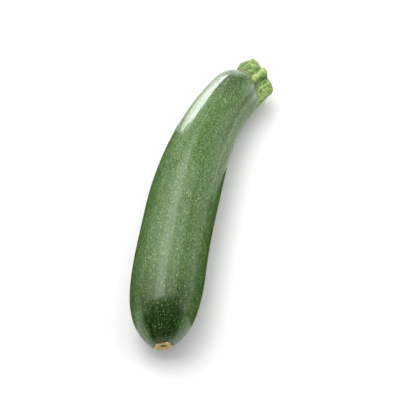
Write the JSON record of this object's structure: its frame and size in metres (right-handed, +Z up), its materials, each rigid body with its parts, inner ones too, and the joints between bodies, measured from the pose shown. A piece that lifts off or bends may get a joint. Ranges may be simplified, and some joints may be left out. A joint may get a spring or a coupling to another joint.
{
  "type": "courgette",
  "caption": "Whole picked courgette lying on its side: slightly bent dark green fruit narrowing to a neck, with a short ribbed cut stalk and a corky blossom scar.",
  "frame": {"origin": "centre of the bounding box, at the height of the surface that the courgette lies on", "axes": "+Z up, +Y along the courgette towards the stalk, +X towards the side that the neck bends to"},
  "size_m": [0.053, 0.202, 0.0415],
  "materials": {
    "skin": "waxy smooth skin, dark green with fine lighter flecks and faint lengthwise stripes",
    "stalk": "fibrous, yellow-green ribs with darker grooves and fine bristles",
    "scar": "dry, rough, corky tan"
  },
  "bodies": {
    "root": {"fruit": "skin", "stalk": "stalk", "blossom_scar": "scar"}
  },
  "joints": []
}
